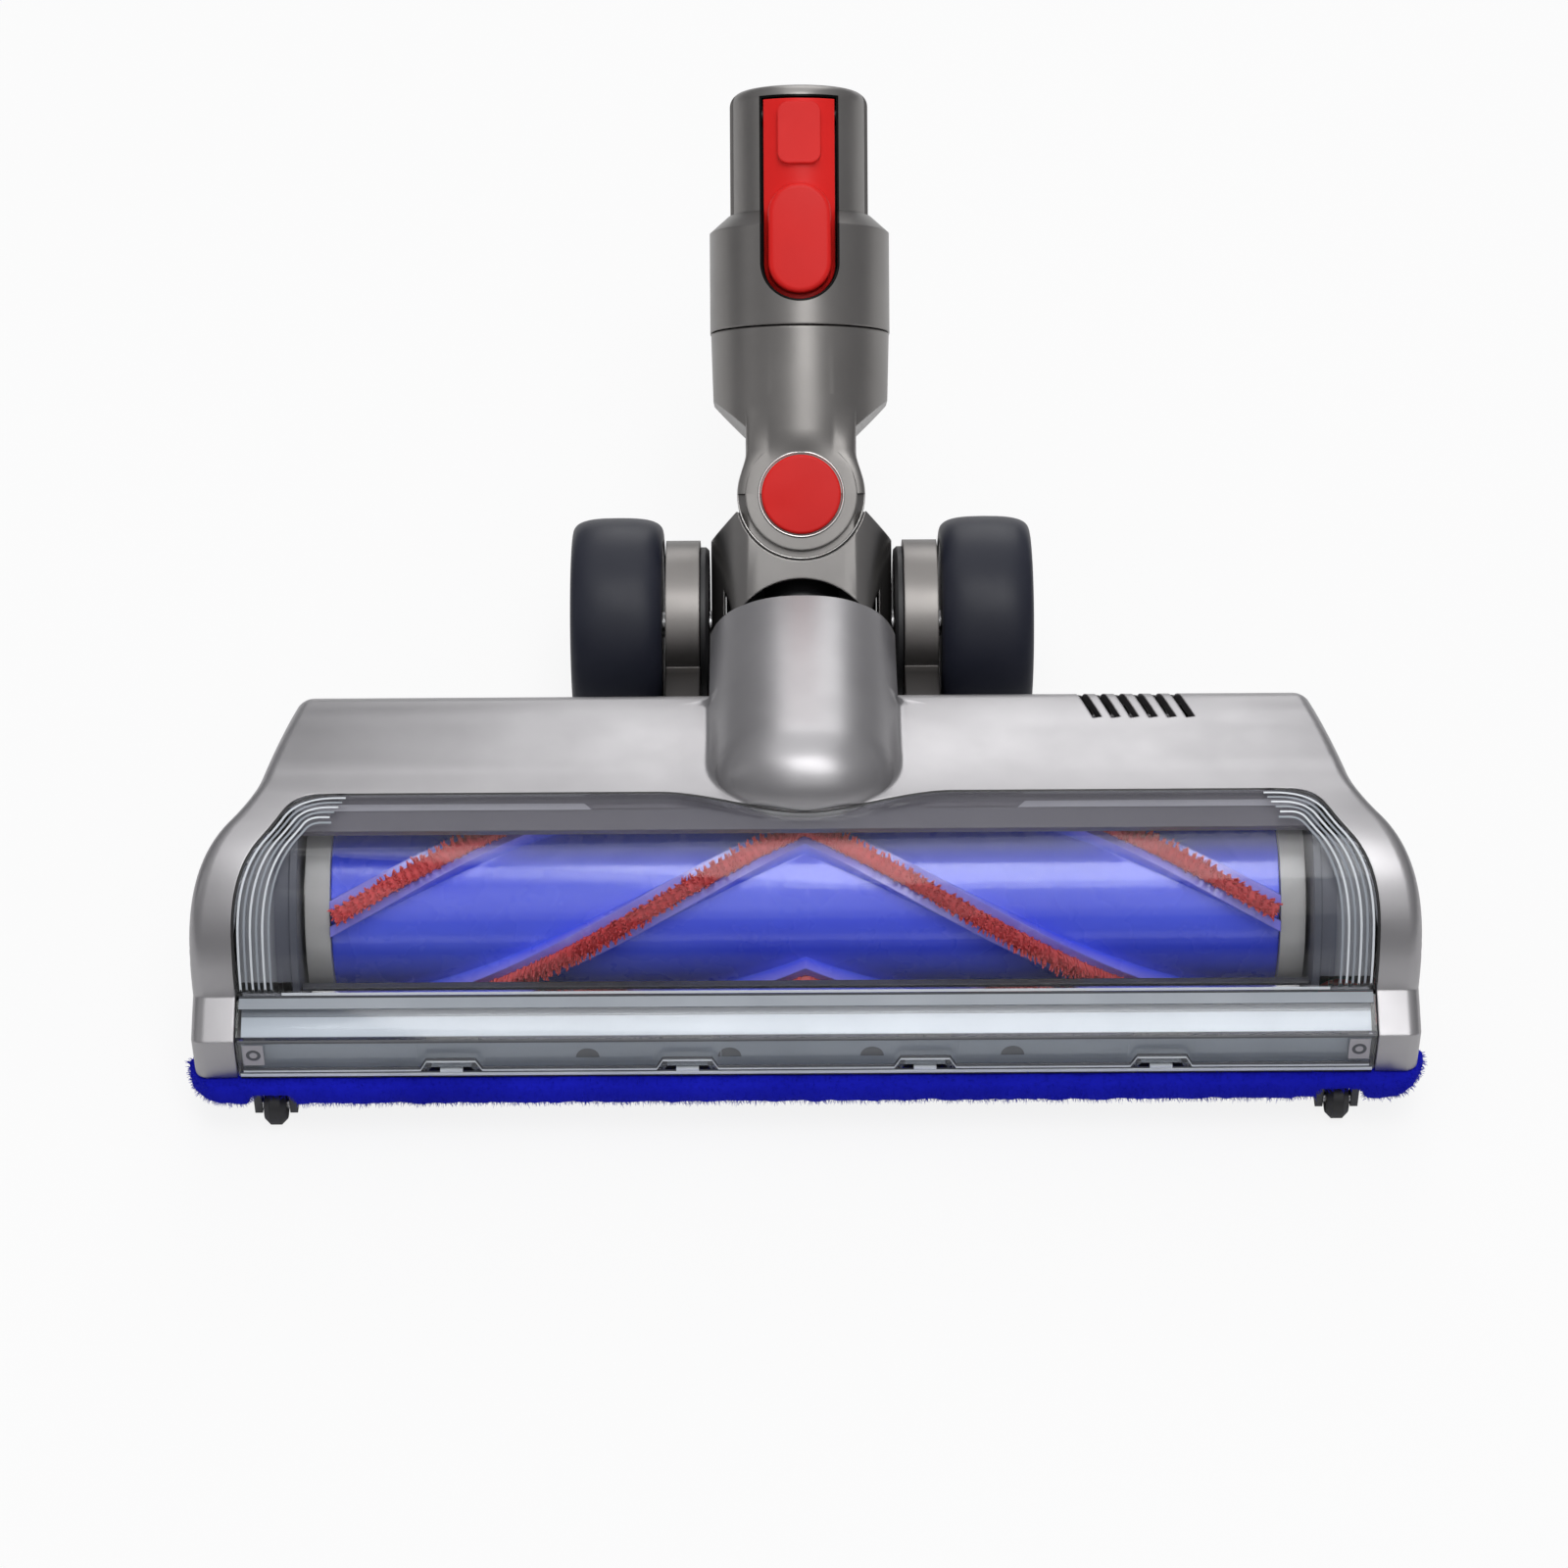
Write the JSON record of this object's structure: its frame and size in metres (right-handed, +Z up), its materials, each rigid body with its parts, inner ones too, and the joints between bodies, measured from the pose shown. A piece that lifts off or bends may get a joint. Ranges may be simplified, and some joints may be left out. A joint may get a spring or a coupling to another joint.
{
  "type": "vacuum floor brush head",
  "caption": "Powered floor brush head for a stick vacuum: clear window over a spinning brush bar, rear wheels, tilting and swivelling neck with a latched wand spigot.",
  "frame": {"origin": "centre of the base of the whole head, on the floor", "axes": "+X to the right across the head, +Y towards the rear, +Z up from the floor"},
  "size_m": [0.2534, 0.227, 0.1224],
  "materials": {
    "silver": "metallic satin paint",
    "clear": "clear",
    "dark": "matte",
    "grey": "matte",
    "black": "matte",
    "felt": "napped",
    "blue": "satin",
    "red": "bristle",
    "red_gloss": "gloss",
    "steel": "bright",
    "brass": "bright",
    "tyre": "matte",
    "hose": "matte",
    "board": "lacquered"
  },
  "bodies": {
    "head": {"main_housing": "silver", "brush_chamber": "dark", "window": "clear", "front_bumper": "clear", "sole_plate": "grey", "felt_strip": "felt", "roller_axle_left": "steel", "roller_axle_right": "steel", "motor_mount": "dark", "motor_can": "steel", "gearbox": "dark", "bearing_carrier": "dark", "brush_bearing": "steel", "control_board": "board", "wheel_arm_left": "silver", "wheel_arm_right": "silver", "axle_left": "steel", "axle_right": "steel", "pivot_bush_left": "black", "pivot_bush_right": "black", "duct_hose": "hose", "hose_cuff": "black", "sole_screws": "steel", "arm_screws": "steel"},
    "brush_bar": {"brush_tube": "blue", "bristle_row_1": "red", "bristle_row_2": "red", "bristle_row_3": "red", "bristle_row_4": "red", "brush_collar_left": "grey", "brush_collar_right": "grey", "drive_dog": "dark"},
    "wheel_left": {"wheel_hub_left": "dark", "tyre_left": "tyre"},
    "wheel_right": {"wheel_hub_right": "dark", "tyre_right": "tyre"},
    "roller_left": {"front_roller_left": "black"},
    "roller_right": {"front_roller_right": "black"},
    "yoke": {"yoke": "dark"},
    "neck": {"lower_neck": "silver", "swivel_pins": "steel", "swivel_cap": "red_gloss", "connector": "silver", "contact_block": "black", "contact_pins": "brass", "latch_pin": "steel", "latch_spring": "steel", "neck_cuff": "black"},
    "latch": {"release_latch": "red_gloss"},
    "coin_lock": {"coin_lock": "red_gloss"}
  },
  "joints": [
    {"name": "brush_spin", "type": "hinge", "parent": "head", "child": "brush_bar", "pos_m": [0, -0.07115, 0.0255], "axis": [1, 0, 0], "continuous": true},
    {"name": "wheel_left_spin", "type": "hinge", "parent": "head", "child": "wheel_left", "pos_m": [0, 0.02055, 0.024], "axis": [1, 0, 0], "continuous": true},
    {"name": "wheel_right_spin", "type": "hinge", "parent": "head", "child": "wheel_right", "pos_m": [0, 0.02055, 0.024], "axis": [1, 0, 0], "continuous": true},
    {"name": "roller_left_spin", "type": "hinge", "parent": "head", "child": "roller_left", "pos_m": [0, -0.10895, 0.0045], "axis": [1, 0, 0], "continuous": true},
    {"name": "roller_right_spin", "type": "hinge", "parent": "head", "child": "roller_right", "pos_m": [0, -0.10895, 0.0045], "axis": [1, 0, 0], "continuous": true},
    {"name": "neck_pitch", "type": "hinge", "parent": "head", "child": "yoke", "pos_m": [0, 0.02055, 0.024], "axis": [1, 0, 0], "range_deg": [-40, 40], "deforming": ["duct_hose"]},
    {"name": "neck_swivel", "type": "hinge", "parent": "yoke", "child": "neck", "pos_m": [0, 0.03915, 0.04466], "axis": [0, -0.7431, 0.6691], "range_deg": [-40, 40], "deforming": ["duct_hose"]},
    {"name": "latch_press", "type": "hinge", "parent": "neck", "child": "latch", "pos_m": [0, 0.08748, 0.11552], "axis": [1, 0, 0], "range_deg": [0, 4.5], "stiffness_Nm_per_rad": 0.4, "deforming": ["latch_spring"]},
    {"name": "coin_lock_turn", "type": "hinge", "parent": "head", "child": "coin_lock", "pos_m": [0.1122, -0.08515, 0.0045], "axis": [0, 0, 1], "range_deg": [0, 90]}
  ]
}
